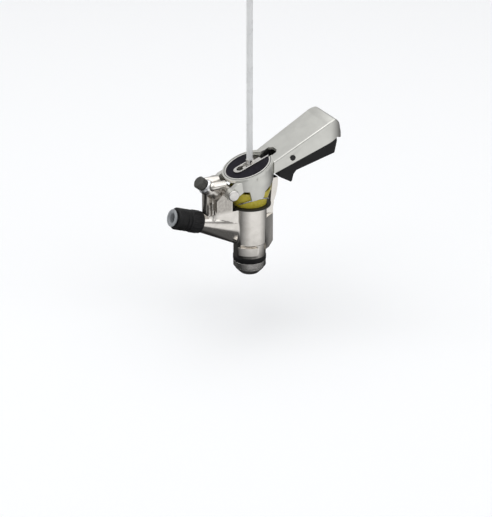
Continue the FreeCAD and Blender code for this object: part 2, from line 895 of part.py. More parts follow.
def skirt():
    # The lower edge rises towards the handle, so that it clears the mouth ring when the lever is down.
    shell = skirt_cone(0, skirt_low, 122).cut(skirt_cone(skirt_wall, skirt_low - 1, 123))
    above = tilted(box(-60, 60, -40, 40, -1.0, 60))
    slope = math.tan(math.radians(lever_travel))
    edge = skirt_low + 3.8
    tab_end = 5.0
    step = edge + (tab_end - drive_pin_x) * slope
    high = edge + (30 - drive_pin_x) * slope
    below = flat_prism([(-40, 60), (-40, skirt_side), (tab_x - 2.5, skirt_side), (tab_x, skirt_low),
                        (tab_x + tab_width, skirt_low + 2.4), (tab_end, step), (30, high), (30, 60)], -40, 40)
    behind = box(-40, -19.5, -ear_in, ear_in, 60, 120)
    return shell.cut(above).cut(below).cut(behind)


def grip_profile(shrink):
    # Side outline of the grip; shrink moves its walls inwards and opens it downwards.
    lift = shrink / math.cos(math.radians(grip_slope))
    drop = 8.0 if shrink else 0.0
    start = V(grip_start, 0, grip_top(grip_start) - lift)
    bend = V(grip_shoulder, 0, grip_top(grip_shoulder) - lift)
    crown = V(crown_x - shrink * 0.5, 0, crown_z - shrink)
    nose = V(nose_x - shrink, 0, nose_z - shrink * 0.3)
    tip = V(grip_end_x - shrink, 0, tip_z)
    tip_low = V(grip_end_x - shrink, 0, tip_z - drop)
    low_end = V(under_end_x, 0, grip_under(under_end_x) - drop)
    low_start = V(grip_start, 0, grip_under(grip_start) - drop)
    rise = (bend + crown) * 0.5 + V(-0.3, 0, 0.5)
    fall = (crown + nose) * 0.5 + V(1.9, 0, 1.4)
    edges = [Part.LineSegment(start, bend).toShape(), Part.Arc(bend, rise, crown).toShape(),
             Part.Arc(crown, fall, nose).toShape(), Part.LineSegment(nose, tip).toShape()]
    if drop:
        edges.append(Part.LineSegment(tip, tip_low).toShape())
    edges += [Part.LineSegment(tip_low, low_end).toShape(), Part.LineSegment(low_end, low_start).toShape(),
              Part.LineSegment(low_start, start).toShape()]
    return Part.Face(Part.Wire(edges))


def grip_plan(shrink):
    root = grip_root_half - shrink
    half = grip_end_half - shrink
    reach = grip_end_x - grip_shoulder - shrink
    mid = math.radians(45)
    low = grip_root_z - 60
    side = V(grip_shoulder, half, low)
    far = V(grip_shoulder, -half, low)
    nose = V(grip_end_x - shrink, 0, low)
    arc_x = grip_shoulder + reach * math.cos(mid)
    arc_y = half * math.sin(mid)
    edges = [Part.LineSegment(V(grip_start, -root, low), V(grip_start, root, low)).toShape(),
             Part.LineSegment(V(grip_start, root, low), side).toShape(),
             Part.Arc(side, V(arc_x, arc_y, low), nose).toShape(),
             Part.Arc(nose, V(arc_x, -arc_y, low), far).toShape(),
             Part.LineSegment(far, V(grip_start, -root, low)).toShape()]
    return Part.Face(Part.Wire(edges)).extrude(V(0, 0, 120))


def grip_solid(shrink):
    side = grip_profile(shrink)
    side.translate(V(0, -30, 0))
    solid = side.extrude(V(0, 60, 0)).common(grip_plan(shrink)).Solids[0]
    if shrink:
        return solid
    # The top face and the end meet the sides in a rounded edge.
    rounded = [e for e in solid.Edges if is_crown_edge(e)]
    return solid.makeFillet(grip_edge_r, rounded)


def is_crown_edge(edge):
    middle = edge.valueAt((edge.FirstParameter + edge.LastParameter) / 2)
    on_side = abs(middle.y) > grip_root_half / 2
    return on_side and middle.z > grip_top(min(middle.x, grip_shoulder)) - 3


def lever_ear():
    # From the skirt's side to the boss; its upper edge stays under the ring's top face.
    back = hinge_x - hinge_boss_r
    root = skirt_shift - 14.5
    bend = hinge_x + 4.5
    ear = flat_prism([(root, ring_plane(root) - ear_drop), (root, skirt_side), (bend, hinge_z - 4.7),
                      (hinge_x, hinge_z - hinge_boss_r), (back, hinge_z), (hinge_x, hinge_z + hinge_boss_r),
                      (bend, ring_plane(bend) - ear_drop)], ear_in, ear_out)
    return both_sides(ear.fuse(pin_y(hinge_boss_r, hinge_x, hinge_z, ear_in, boss_out)))


def root_window():
    # The way through for the latch post, with a wider scoop on the far side of the shell.
    reach = window_end - 2.5
    plan = [(10, -window_half), (reach, -window_half), (window_end, -window_half + 3),
            (window_end, window_far - 5), (reach - 0.5, window_far), (10, window_far)]
    corners = [V(x, y, ring_z) for x, y in plan]
    scoop = Part.Face(Part.makePolygon(corners + corners[:1])).extrude(V(0, 0, 30))
    return box(15, window_end + 1.5, -window_half, window_half, 80, ring_z + 6).fuse(scoop)


def lever_handle():
    outer_ring = tilted(cylinder(ring_r, -ring_depth, 0))
    groove = tilted(ring(ring_groove_r + 0.3, ring_groove_r - 0.3, -0.5, 1))
    core = skirt_cone(skirt_wall, skirt_low - 1, 130)
    room = tilted(box(-60, 60, -40, 40, -60, -ring_depth))
    grip = grip_solid(0).cut(core.common(room))
    shell = fuse_all([outer_ring, skirt(), grip, lever_ear()])
    cuts = [grip_solid(grip_wall),
            groove,
            tilted(cylinder(disc_r + pocket_fit * 5, -disc_thickness - 0.3, 1)),
            tilted(cylinder(disc_r - 2.0, -ring_depth - 1, 1)),
            tilted(box(0, ring_r, -window_half, window_half, -ring_depth - 1, 3)),
            root_window(),
            pin_y(post_radius + open_gap, hinge_x, hinge_z, -window_half, window_half).common(
                box(5, 40, -window_half, window_half, 60, 125)),
            both_sides(pin_y(hinge_pin_r + running_fit, hinge_x, hinge_z, ear_in - 1, boss_out + 1)),
            both_sides(pin_y(drive_pin_r + pocket_fit, drive_pin_x, drive_pin_z, 12, ring_inner_r() + 1.0)),
            both_sides(pin_y(trigger_pin_r + pocket_fit, trigger_pin_x, trigger_pin_z, 10, 30)),
            both_sides(pin_y(trigger_head_r + pocket_fit, trigger_pin_x, trigger_pin_z, pivot_seat(), 30))]
    for cut in cuts:
        shell = shell.cut(cut)
    return shell


def slot_plate():
    low = -disc_thickness - 0.3
    plate = cylinder(disc_r, low, -0.3)
    notch = box(disc_notch_x, disc_r + 1, 0, disc_r + 1, low - 1, 1)
    return tilted(plate.cut(slot_shape(bezel_start, bezel_half() + pocket_fit, low - 1, 1)).cut(notch))


def slot_shape(start, half, low, high):
    # A slot with a round blind end, open towards the handle.
    end = start + half
    straight = box(end, 40, -half, half, low, high)
    return straight.fuse(Part.makeCylinder(half, high - low, V(end, 0, low)))


def bezel_half():
    return slot_half + bezel_width


def slot_bezel():
    low = -disc_thickness - 0.3
    high = bezel_rise + 1
    rim = slot_shape(bezel_start, bezel_half(), low, bezel_rise)
    rim = rim.cut(slot_shape(slot_start, slot_half, low - 1, high))
    notch = box(disc_notch_x, disc_r + 1, 0, disc_r + 1, low - 1, high)
    return tilted(rim.common(cylinder(disc_r, low, bezel_rise)).cut(notch))


# Trigger

def trigger_outline():
    # From the front face round the finger hook, along the underside to the far end and back inside the grip.
    return [(trigger_front_x, trigger_front_top), (trigger_front_x, trigger_front_low),
            (finger_tip_x, finger_tip_z), (finger_tip_x + 1.6, finger_tip_z + 0.8),
            (finger_back_x, trigger_front_low), (trigger_under_x, trigger_under_z),
            (trigger_end_x - 2.9, trigger_end_low), (trigger_end_x, trigger_end_top - 6.3),
            (trigger_end_x - 1.0, trigger_end_top), (grip_middle, trigger_top + 2.5),
            (trigger_pin_x + 5, trigger_top), (trigger_pin_x - 1, trigger_top),
            (trigger_pin_x - 5, trigger_top - 5)]


def notch_outline(gap):
    # The rib's and the latch post's outer line as the lever sees them when it is down.
    line = [about_hinge(rib_x + gap, barrel_top - 14, -lever_travel)]
    low = barrel_top - 2
    steps = 5
    for step in range(steps + 1):
        z = low + step * (post_top + 3 - low) / steps
        line.append(about_hinge(post_outer_x(z) + gap, z, -lever_travel))
    inside = trigger_front_x - 16
    return [(inside, 70), (line[0][0] + 3, 70)] + line + [(line[-1][0], 130), (inside, 130)]


def trigger():
    half = trigger_half
    body = flat_prism(trigger_outline(), -half, half)
    notch = flat_prism(notch_outline(0.9), -rib_half - 1.1, rib_half + 1.1)
    inner = trigger_end_x - trigger_wall - 1.1
    start = trigger_pin_x + 10
    room = half - trigger_wall
    hollow = flat_prism([(start, trigger_top - 1.1), (start, trigger_under_z + 3.1),
                         (inner - 1.8, trigger_end_low + 1.8), (inner + 0.6, trigger_end_top - 6.3),
                         (inner, trigger_end_top - 2.3), (inner, trigger_end_top + 5),
                         (start, trigger_end_top + 5)], -room, room)
    bore = pin_y(trigger_pin_r + running_fit, trigger_pin_x, trigger_pin_z, -half - 1, half + 1)
    spring_pocket = pin_y(4.6, trigger_pin_x, trigger_pin_z, 6.5, 12.0)
    for cut in (notch, hollow, bore, spring_pocket, latch_pin(pocket_fit)):
        body = body.cut(cut)
    return body


def latch_pin(gap):
    # It lies behind the top of the post when the lever is down.
    centre_r = post_radius + latch_gap + latch_pin_r
    turn = math.radians(latch_turn)
    x = hinge_x + centre_r * math.cos(turn)
    z = hinge_z + centre_r * math.sin(turn)
    return pin_y(latch_pin_r + gap, x, z, -latch_pin_half - gap, latch_pin_half + gap)


def pivot_seat():
    # Half the grip's width at the trigger's pivot, less the depth of the head's counterbore.
    share = (trigger_pin_x - grip_start) / (grip_shoulder - grip_start)
    return grip_root_half + share * (grip_end_half - grip_root_half) - 0.5


def trigger_pivot():
    low = pivot_seat()
    shaft = pin_y(trigger_pin_r, trigger_pin_x, trigger_pin_z, -low, low)
    head = both_sides(pin_y(trigger_head_r, trigger_pin_x, trigger_pin_z, low, low + 1.0))
    return shaft.fuse(head)


def trigger_spring():
    spring = helix_spring(3.3, 0.5, 7.2, 11.4, 3)
    spring.rotate(V(0, 0, 0), V(1, 0, 0), -90)
    spring.translate(V(trigger_pin_x, 0, trigger_pin_z))
    return spring


# Beer line and the fitting at its far end

line_bottom = line_stop + 0.2
line_route = [V(0, 0, line_bottom), V(0, 0, line_top)]


def beer_line():
    wire = Part.Wire([Part.LineSegment(line_route[0], line_route[1]).toShape()])
    section = Part.Wire([Part.makeCircle(line_r, line_route[0], V(0, 0, 1))])
    tube = wire.makePipeShell([section], True, True)
    length = (line_route[1] - line_route[0]).Length
    print("line volume against section times length", tube.Volume / (math.pi * line_r ** 2 * length))
    return tube


def line_end_fitting():
    # A hexagon with chamfered corners, and a stub of the line's own diameter above it.
    low = line_top
    shoulder = low + hex_height
    end = shoulder + end_stub
    corners = []
    for step in range(6):
        turn = math.radians(60 * step)
        corners.append(V(hex_r * math.cos(turn), hex_r * math.sin(turn), low))
    hexagon = Part.Face(Part.makePolygon(corners + corners[:1])).extrude(V(0, 0, hex_height))
    edge = 0.8
    bevel = turned([(0, low), (hex_r - edge, low), (hex_r, low + edge), (hex_r, shoulder - edge),
                    (hex_r - edge, shoulder), (0, shoulder)])
    top = end + 0.6
    stub = turned([(0, shoulder), (line_r, shoulder), (line_r, end), (line_r - 0.6, top), (0, top)])
    return hexagon.common(bevel).fuse(stub).cut(cylinder(line_r - 1.1, low - 1, end + 2))


def line_end_ferrule():
    bore = line_r + pocket_fit
    low = line_top - ferrule_length
    outer = bore + ferrule_wall
    profile = [(bore, low), (outer - 0.3, low), (outer, low + 0.3)]
    for step in range(3):
        z = low + 2.5 + step * 3.0
        profile += [(outer, z), (outer - 0.4, z + 0.5), (outer - 0.4, z + 1.2), (outer, z + 1.7)]
    profile += [(outer, line_top), (bore, line_top)]
    return turned(profile)


seal, guide = relief_seal()
save("coupler_body", coupler_body())
save("neck_seal", neck_seal())
save("nose_ring", nose_ring())
save("mouth_ring", mouth_ring())
save("guide_cup", guide_cup())
save("retaining_clip", retaining_clip())
save("gland_oring", gland_oring())
save("hinge_pin", hinge_pin())
save("hinge_clip", hinge_clip())
save("gas_check_valve", gas_check_valve())
save("check_valve_retainer", check_valve_retainer())
save("gas_washer", gas_washer())
save("gas_nut", gas_nut())
save("gas_fitting", gas_fitting())
save("gas_oring", gas_oring())
save("gas_end_cap", gas_end_cap())
save("gas_collet", gas_collet())
save("relief_cap", relief_cap())
save("relief_spring", relief_spring())
save("relief_knob", relief_knob())
save("relief_stem", relief_stem())
save("relief_seal", seal)
save("relief_spring_seat", guide)
save("lever_handle", lever_handle())
save("slot_plate", slot_plate())
save("slot_bezel", slot_bezel())
save("drive_pins", drive_pins())
save("trigger_pivot", trigger_pivot())
save("trigger_spring", trigger_spring())
save("trigger", trigger())
save("latch_pin", latch_pin(0))
save("probe_tube", probe_tube())
save("cross_head", cross_head())
save("line_guide", line_guide())
save("probe_tip", probe_tip())
save("probe_seal", probe_seal())
save("line_oring", line_oring())
save("beer_collet", beer_collet())
save("ball_cage", ball_cage())
save("check_ball", check_ball())
save("beer_line", beer_line())
save("line_end_fitting", line_end_fitting())
save("line_end_ferrule", line_end_ferrule())
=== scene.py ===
# %% [markdown]
# # A keg coupler in polished steel, satin metal and moulded plastic
# A keg coupler draws beer under gas pressure: its neck turns into the valve below it, a lever pushes a
# hollow probe down, gas goes in through a slanted branch and the beer leaves through a thin line at the
# top. The imported model already holds every piece at its real size. This lesson gives those pieces their
# finish, their edges and their light. The first cell loads the pieces.

# %% Load the frame
import json
import math
import bmesh
import bpy
from mathutils import Matrix, Vector

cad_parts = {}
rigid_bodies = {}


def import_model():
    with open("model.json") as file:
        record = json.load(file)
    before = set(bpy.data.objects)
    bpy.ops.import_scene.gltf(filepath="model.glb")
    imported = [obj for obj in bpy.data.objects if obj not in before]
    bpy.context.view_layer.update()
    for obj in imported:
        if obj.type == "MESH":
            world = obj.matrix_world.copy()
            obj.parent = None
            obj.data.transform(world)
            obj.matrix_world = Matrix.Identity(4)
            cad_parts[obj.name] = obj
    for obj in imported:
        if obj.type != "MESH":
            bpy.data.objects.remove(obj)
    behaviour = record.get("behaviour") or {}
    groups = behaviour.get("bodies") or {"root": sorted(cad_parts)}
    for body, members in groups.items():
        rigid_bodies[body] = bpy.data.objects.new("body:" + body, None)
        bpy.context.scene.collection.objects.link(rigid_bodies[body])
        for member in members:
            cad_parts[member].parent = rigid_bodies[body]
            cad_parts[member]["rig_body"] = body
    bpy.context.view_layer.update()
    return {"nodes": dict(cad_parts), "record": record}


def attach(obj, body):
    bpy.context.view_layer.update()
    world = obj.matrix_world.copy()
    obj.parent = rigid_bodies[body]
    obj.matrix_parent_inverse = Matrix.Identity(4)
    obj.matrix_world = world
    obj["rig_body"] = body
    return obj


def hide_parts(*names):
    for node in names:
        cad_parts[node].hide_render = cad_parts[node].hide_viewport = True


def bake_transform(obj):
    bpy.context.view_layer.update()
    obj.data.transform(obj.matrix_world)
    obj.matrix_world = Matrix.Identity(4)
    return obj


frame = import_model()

nodes = frame["nodes"]
MM = 0.001
print("pieces in the frame:", len(nodes))

# %% [markdown]
# ## The camera
# The photograph was taken from a little above, and from the side where the gas inlet points left. A long
# lens keeps the verticals parallel, so the camera stands three metres away and its lens is worked out from
# the size of one pixel on the probe's axis.

# %% Camera
PHOTO_WIDTH, PHOTO_HEIGHT = 492, 517
PIXEL = 1.03 * MM
AZIMUTH, ELEVATION = math.radians(-28), math.radians(24)
DISTANCE = 3.0
AXIS_PIXEL = (249.5, 258.3)
SENSOR = 36.0

view_back = Vector((math.sin(AZIMUTH) * math.cos(ELEVATION), -math.cos(AZIMUTH) * math.cos(ELEVATION),
                    math.sin(ELEVATION)))
view_right = Vector((math.cos(AZIMUTH), math.sin(AZIMUTH), 0))
view_up = view_back.cross(view_right)
aim_right = (PHOTO_WIDTH / 2 - AXIS_PIXEL[0]) * PIXEL
aim_up = (AXIS_PIXEL[1] - PHOTO_HEIGHT / 2) * PIXEL
aim = view_right * aim_right + view_up * aim_up

scene = bpy.context.scene
camera = bpy.data.objects.new("camera", bpy.data.cameras.new("camera"))
scene.collection.objects.link(camera)
camera.location = aim + view_back * DISTANCE
camera.rotation_euler = view_back.to_track_quat("Z", "Y").to_euler()
camera.data.sensor_width = SENSOR
camera.data.lens = SENSOR * DISTANCE / (PHOTO_HEIGHT * PIXEL)
scene.camera = camera
scene.view_settings.view_transform = "Standard"
print("lens in mm:", round(camera.data.lens, 1))

# %% [markdown]
# ## Colours and nodes
# Colours are written as they look on screen, in sRGB hex, and Blender's nodes want linear light, so one
# function turns the first into the second. A second small function adds a node, sets it and links it in one
# call, and a few more name what a material needs again and again: blotches of some size, a stretched range,
# a tint and a relief.

# %% Helpers for materials
# A Mix node has a socket of the same name for each type of data, so its colour sockets are picked by number.
MIX_SHARE, MIX_FROM, MIX_TO, MIX_RESULT = 0, 6, 7, 2


def colour(code):
    parts = [int(code[i:i + 2], 16) / 255 for i in (1, 3, 5)]
    return [c / 12.92 if c <= 0.04045 else ((c + 0.055) / 1.055) ** 2.4 for c in parts] + [1.0]


def add(tree, kind, inputs=None, **settings):
    node = tree.nodes.new(kind)
    for key, value in settings.items():
        setattr(node, key, value)
    for key, value in (inputs or {}).items():
        if isinstance(value, bpy.types.NodeSocket):
            tree.links.new(value, node.inputs[key])
        else:
            node.inputs[key].default_value = value
    return node


def finish_named(name, **inputs):
    material = bpy.data.materials.new(name)
    material.use_nodes = True
    tree = material.node_tree
    shader = tree.nodes["Principled BSDF"]
    for key, value in inputs.items():
        shader.inputs[key.replace("_", " ")].default_value = value
    place = add(tree, "ShaderNodeTexCoord").outputs["Object"]
    return material, tree, shader, place


def blotches(tree, place, size, detail=3.0):
    # Soft noise whose patches are about this many millimetres across.
    scale = 1 / (size * MM)
    return add(tree, "ShaderNodeTexNoise", {"Vector": place, "Scale": scale, "Detail": detail}).outputs["Fac"]


def spread(tree, value, low, high):
    # Noise lies mostly between 0.3 and 0.7, so that part is stretched over the wanted range.
    return add(tree, "ShaderNodeMapRange", {"Value": value, "From Min": 0.3, "From Max": 0.7,
                                            "To Min": low, "To Max": high}).outputs["Result"]


def tint(tree, value, dark, light):
    share = spread(tree, value, 0.0, 1.0)
    return add(tree, "ShaderNodeMix", {MIX_SHARE: share, MIX_FROM: colour(dark), MIX_TO: colour(light)},
               data_type="RGBA").outputs[MIX_RESULT]


def relief_of(tree, shader, height, depth, strength=1.0):
    bump = add(tree, "ShaderNodeBump", {"Height": height, "Distance": depth * MM, "Strength": strength})
    tree.links.new(bump.outputs["Normal"], shader.inputs["Normal"])


print("white as linear light:", [round(c, 3) for c in colour("#ffffff")])

# %% [markdown]
# ## Polished stainless steel
# The coupler's body is an investment casting in stainless steel that was turned and then polished by hand.
# The polish leaves a mirror that isn't quite flat: reflections waver over a few millimetres, and fingers
# and cloths leave patches that are a little duller. So the metal is smooth, its roughness wanders, and a
# very shallow bump bends the reflections. The hinge block looks darker than the barrel. It is drawn with a
# darker, greyer colour, which is painted shade for the dark reflections it shows, and with a little more
# roughness. It is drawn with a duller, greyer skin, as a casting has in corners where no polishing wheel can
# reach. That is a guess: dark surroundings in the reflections would look alike.

# %% Polished and turned steel
# The painted shade and the duller finish begin at the first of each pair and are whole at the second, in
# millimetres along the axis.
BLOCK_LIMITS = [("X", -20, -25), ("Z", 58, 62), ("Z", 88, 80)]
BLOCK_DULLER = 0.06


def share_between(tree, value, start, end):
    # Zero at start and one at end, both in millimetres along one axis.
    return add(tree, "ShaderNodeMapRange", {"Value": value, "From Min": start * MM,
                                            "From Max": end * MM}).outputs["Result"]


def on_hinge_block(tree, place):
    axes = add(tree, "ShaderNodeSeparateXYZ", {"Vector": place}).outputs
    share = 1.0
    for axis, begin, whole in BLOCK_LIMITS:
        inside = share_between(tree, axes[axis], begin, whole)
        share = add(tree, "ShaderNodeMath", {0: share, 1: inside}, operation="MULTIPLY").outputs[0]
    return share


def polished_steel():
    material, tree, shader, place = finish_named("polished_stainless_steel", Metallic=1.0)
    block = on_hinge_block(tree, place)
    bright = tint(tree, blotches(tree, place, 9.0), "#d6d2cc", "#e0dcd7")
    # Painted shade: the hinge block's colour is darker and greyer than the barrel's.
    block_painted_shade = tint(tree, blotches(tree, place, 2.5), "#a5a19b", "#bfbbb5")
    block_shaded_colour = add(tree, "ShaderNodeMix", {MIX_SHARE: block, MIX_FROM: bright, MIX_TO: block_painted_shade}, data_type="RGBA")
    tree.links.new(block_shaded_colour.outputs[MIX_RESULT], shader.inputs["Base Color"])
    wander = spread(tree, blotches(tree, place, 5.0), 0.12, 0.20)
    rough = add(tree, "ShaderNodeMath", {0: block, 1: BLOCK_DULLER, 2: wander}, operation="MULTIPLY_ADD")
    tree.links.new(rough.outputs[0], shader.inputs["Roughness"])
    relief_of(tree, shader, blotches(tree, place, 5.0, 2.0), 0.03, 0.4)
    return material


def turned_steel():
    # A lathe leaves fine rings; at 0.35 mm they are drawn coarser than real ones, so that they show.
    ring_pitch = 0.35
    # At a scale of 1, the bands of the wave texture are this far apart.
    band_pitch = math.tau / 20
    material, tree, shader, place = finish_named("turned_stainless_steel", Metallic=1.0, Roughness=0.24)
    scale = band_pitch / (ring_pitch * MM)
    rings = add(tree, "ShaderNodeTexWave", {"Vector": place, "Scale": scale, "Distortion": 0.4},
                wave_type="BANDS", bands_direction="Z").outputs["Fac"]
    tree.links.new(tint(tree, blotches(tree, place, 6.0), "#cdcbc8", "#dddbd8"), shader.inputs["Base Color"])
    relief_of(tree, shader, rings, 0.02, 0.35)
    return material


def bright_chrome():
    material, tree, shader, place = finish_named("bright_chrome_plate", Metallic=1.0)
    tree.links.new(tint(tree, blotches(tree, place, 4.0), "#d9dadd", "#e8e9ea"), shader.inputs["Base Color"])
    tree.links.new(spread(tree, blotches(tree, place, 3.0), 0.06, 0.14), shader.inputs["Roughness"])
    return material


def spring_wire():
    material, tree, shader, place = finish_named("drawn_spring_wire", Metallic=1.0)
    tree.links.new(tint(tree, blotches(tree, place, 2.0), "#c6c6c4", "#e0e0de"), shader.inputs["Base Color"])
    tree.links.new(spread(tree, blotches(tree, place, 1.0), 0.16, 0.3), shader.inputs["Roughness"])
    return material


def blackened_steel():
    material, tree, shader, place = finish_named("blackened_steel", Metallic=0.6)
    tree.links.new(tint(tree, blotches(tree, place, 2.0), "#1b1b1c", "#2b2b2c"), shader.inputs["Base Color"])
    tree.links.new(spread(tree, blotches(tree, place, 1.5), 0.3, 0.45), shader.inputs["Roughness"])
    return material


# %% [markdown]
# ## Satin metal of the lever
# The lever is a casting that was blasted with glass beads and plated. Beads leave thousands of shallow
# dents, far too small to see one by one, and together they scatter the light: the metal looks pale and
# even, with only a broad soft shine. The dents are drawn at half a millimetre, coarser than real ones, so
# that they show.

# %% Satin metal
def satin_metal():
    dent = 0.5
    material, tree, shader, place = finish_named("satin_blasted_metal", Metallic=1.0)
    tree.links.new(tint(tree, blotches(tree, place, 14.0), "#cacac5", "#d3d3ce"), shader.inputs["Base Color"])
    tree.links.new(spread(tree, blotches(tree, place, 6.0), 0.28, 0.36), shader.inputs["Roughness"])
    relief_of(tree, shader, blotches(tree, place, dent, 2.0), 0.02, 0.4)
    return material


# %% [markdown]
# ## Moulded plastics and rubber
# The trigger, the union nut and the push-in fitting are injection-moulded nylon with a spark-eroded grain,
# which breaks their shine into a soft glow. The cup is a glossy yellow acetal that lets a little light in
# below its surface. Rubber is darker and duller, because its moulds are plain and its surface blooms.

# %% Plastics and rubber
def grained_plastic(name, dark, light, rough, grain, depth, shine):
    glossier, duller = 0.04, 0.05
    material, tree, shader, place = finish_named(name, IOR=1.5, Specular_IOR_Level=shine)
    tree.links.new(tint(tree, blotches(tree, place, 10.0), dark, light), shader.inputs["Base Color"])
    wander = spread(tree, blotches(tree, place, 4.0), rough - glossier, rough + duller)
    tree.links.new(wander, shader.inputs["Roughness"])
    relief_of(tree, shader, blotches(tree, place, grain, 2.0), depth, 0.5)
    return material


def yellow_acetal():
    depths = (1.5 * MM, 1.2 * MM, 0.3 * MM)
    material, tree, shader, place = finish_named("yellow_acetal", IOR=1.48, Subsurface_Weight=0.12,
                                                 Subsurface_Radius=depths, Subsurface_Scale=1.0)
    tree.links.new(tint(tree, blotches(tree, place, 8.0), "#b0a232", "#c2b445"), shader.inputs["Base Color"])
    tree.links.new(spread(tree, blotches(tree, place, 5.0), 0.16, 0.26), shader.inputs["Roughness"])
    relief_of(tree, shader, blotches(tree, place, 1.2, 2.0), 0.02, 0.4)
    return material


def line_plastic():
    # Extruded polyethylene is milky: light goes in and scatters, so the tube looks pale and soft-edged.
    depths = (2 * MM, 2 * MM, 2 * MM)
    material, tree, shader, place = finish_named("milky_polyethylene_tube", IOR=1.5, Subsurface_Weight=0.35,
                                                 Subsurface_Radius=depths, Subsurface_Scale=1.0)
    tree.links.new(tint(tree, blotches(tree, place, 12.0), "#d4d5d5", "#dddede"), shader.inputs["Base Color"])
    tree.links.new(spread(tree, blotches(tree, place, 6.0), 0.25, 0.35), shader.inputs["Roughness"])
    return material


finishes = {
    "polished_stainless": polished_steel(),
    "turned_stainless": turned_steel(),
    "satin_metal": satin_metal(),
    "chrome_trim": bright_chrome(),
    "spring_wire": spring_wire(),
    "black_steel": blackened_steel(),
    "black_rubber": grained_plastic("moulded_black_rubber", "#0a0a0b", "#131314", 0.6, 0.9, 0.02, 0.3),
    # The mouth ring's near-black colour is painted shade: it stands in for the shade under the cup.
    "dark_ring": grained_plastic("mouth_ring_painted_shade", "#171713", "#25241f", 0.45, 0.9, 0.02, 0.35),
    "black_plastic": grained_plastic("grained_black_nylon", "#161617", "#1f1f20", 0.46, 0.6, 0.03, 0.2),
    "disc_plastic": grained_plastic("satin_dark_nylon", "#100e17", "#181620", 0.45, 0.8, 0.02, 0.08),
    "knob_plastic": grained_plastic("grained_grey_nylon", "#383835", "#454542", 0.42, 0.6, 0.03, 0.35),
    "grey_plastic": grained_plastic("pale_grey_acetal", "#84878a", "#95989b", 0.32, 0.8, 0.01, 0.4),
    "yellow_plastic": yellow_acetal(),
    "white_ball": grained_plastic("white_acetal", "#e2e2dd", "#efefeb", 0.25, 1.0, 0.01, 0.5),
    "line_tube": line_plastic(),
}
print("finishes:", len(finishes))

# %% [markdown]
# ## Dress every node
# Each node of the frame names a material slot in the record. The finish made for that slot goes on the
# node's object, so no piece keeps a plain colour, also the ones inside that only a cut or an opened lever
# shows.

# %% Put the finishes on the nodes
slot_of = {row["node"]: row["material_slot"] for row in frame["record"]["subparts"]}
for name, node in nodes.items():
    node.data.materials.clear()
    node.data.materials.append(finishes[slot_of[name]])
print("nodes dressed:", len(slot_of))

# %% [markdown]
# ## Broken edges
# No real edge is perfectly sharp: castings have radii, turned parts are deburred, and mouldings have a
# small round where the mould was cut. A rounded edge catches a thin highlight, and the eye reads it as a
# real thing. A copy of the node is merged into one skin, its flat faces are joined, and a bevel rounds
# every corner that is sharper than thirty degrees. The copy then stands for the node.

# %% A piece with rounded edges
MERGE_WITHIN = 0.002 * MM
FLAT_WITHIN = math.radians(0.3)


def as_mesh(piece):
    # Bake the modifiers into a plain mesh that sits at the origin.
    bpy.context.view_layer.update()
    graph = bpy.context.evaluated_depsgraph_get()
    mesh = bpy.data.meshes.new_from_object(piece.evaluated_get(graph))
    piece.modifiers.clear()
    piece.data = mesh
    return piece


def smooth(mesh, degrees=35):
    mesh.polygons.foreach_set("use_smooth", [True] * len(mesh.polygons))
    mesh.set_sharp_from_angle(angle=math.radians(degrees))


def rounded(name, radius, segments=2, sharper=30):
    source = nodes[name]
    mesh = source.data.copy()
    form = bmesh.new()
    form.from_mesh(mesh)
    bmesh.ops.remove_doubles(form, verts=form.verts, dist=MERGE_WITHIN)
    bmesh.ops.dissolve_limit(form, angle_limit=FLAT_WITHIN, verts=form.verts, edges=form.edges)
    form.to_mesh(mesh)
    form.free()
    smooth(mesh)
    piece = bpy.data.objects.new(name + "_finished", mesh)
    scene.collection.objects.link(piece)
    bevel = piece.modifiers.new("broken_edges", "BEVEL")
    bevel.width = radius * MM
    bevel.segments = segments
    bevel.limit_method = "ANGLE"
    bevel.angle_limit = math.radians(sharper)
    bevel.harden_normals = True
    bevel.use_clamp_overlap = True
    as_mesh(piece)
    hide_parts(name)
    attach(piece, source["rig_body"])
    return piece


edge_radius = {
    "coupler_body": 0.5,
    "lever_handle": 0.2,
    "trigger": 0.4,
    "guide_cup": 0.25,
    "slot_plate": 0.2,
    "slot_bezel": 0.15,
    "gas_nut": 0.25,
    "gas_fitting": 0.25,
    "gas_end_cap": 0.25,
    "gas_collet": 0.15,
    "relief_knob": 0.25,
    "relief_cap": 0.2,
    "mouth_ring": 0.2,
    "neck_seal": 0.3,
    "nose_ring": 0.2,
    "probe_tip": 0.3,
    "cross_head": 0.2,
    "line_guide": 0.3,
    "hinge_pin": 0.4,
    "line_end_fitting": 0.2,
}
for name, radius in edge_radius.items():
    piece = rounded(name, radius)
    print(name, "faces:", len(piece.data.polygons))

# %% [markdown]
# ## Rules for what repeats
# Springs, ribs and bent wire follow a rule: a coil has a radius, a pitch and a number of turns, and the
# ribs of a nut stand in a ring. Geometry Nodes hold such a rule with its sizes as named inputs, so one tree
# makes every piece of its kind. A tree ends in Realize Instances and Set Material, and its result is baked
# to a plain mesh.

# %% Helpers for rules
def new_rule(name, sizes):
    tree = bpy.data.node_groups.new(name, "GeometryNodeTree")
    tree.interface.new_socket("Geometry", in_out="INPUT", socket_type="NodeSocketGeometry")
    tree.interface.new_socket("Geometry", in_out="OUTPUT", socket_type="NodeSocketGeometry")
    for key, value in sizes.items():
        kind = "NodeSocketInt" if isinstance(value, int) else "NodeSocketFloat"
        tree.interface.new_socket(key, in_out="INPUT", socket_type=kind).default_value = value
    return tree, tree.nodes.new("NodeGroupInput").outputs


def close_rule(tree, form, finish):
    soft = add(tree, "GeometryNodeSetShadeSmooth", {"Geometry": form}).outputs["Geometry"]
    whole = add(tree, "GeometryNodeRealizeInstances", {"Geometry": soft}).outputs["Geometry"]
    dressed = add(tree, "GeometryNodeSetMaterial", {"Geometry": whole, "Material": finish})
    tree.links.new(dressed.outputs["Geometry"], tree.nodes.new("NodeGroupOutput").inputs["Geometry"])
    return tree


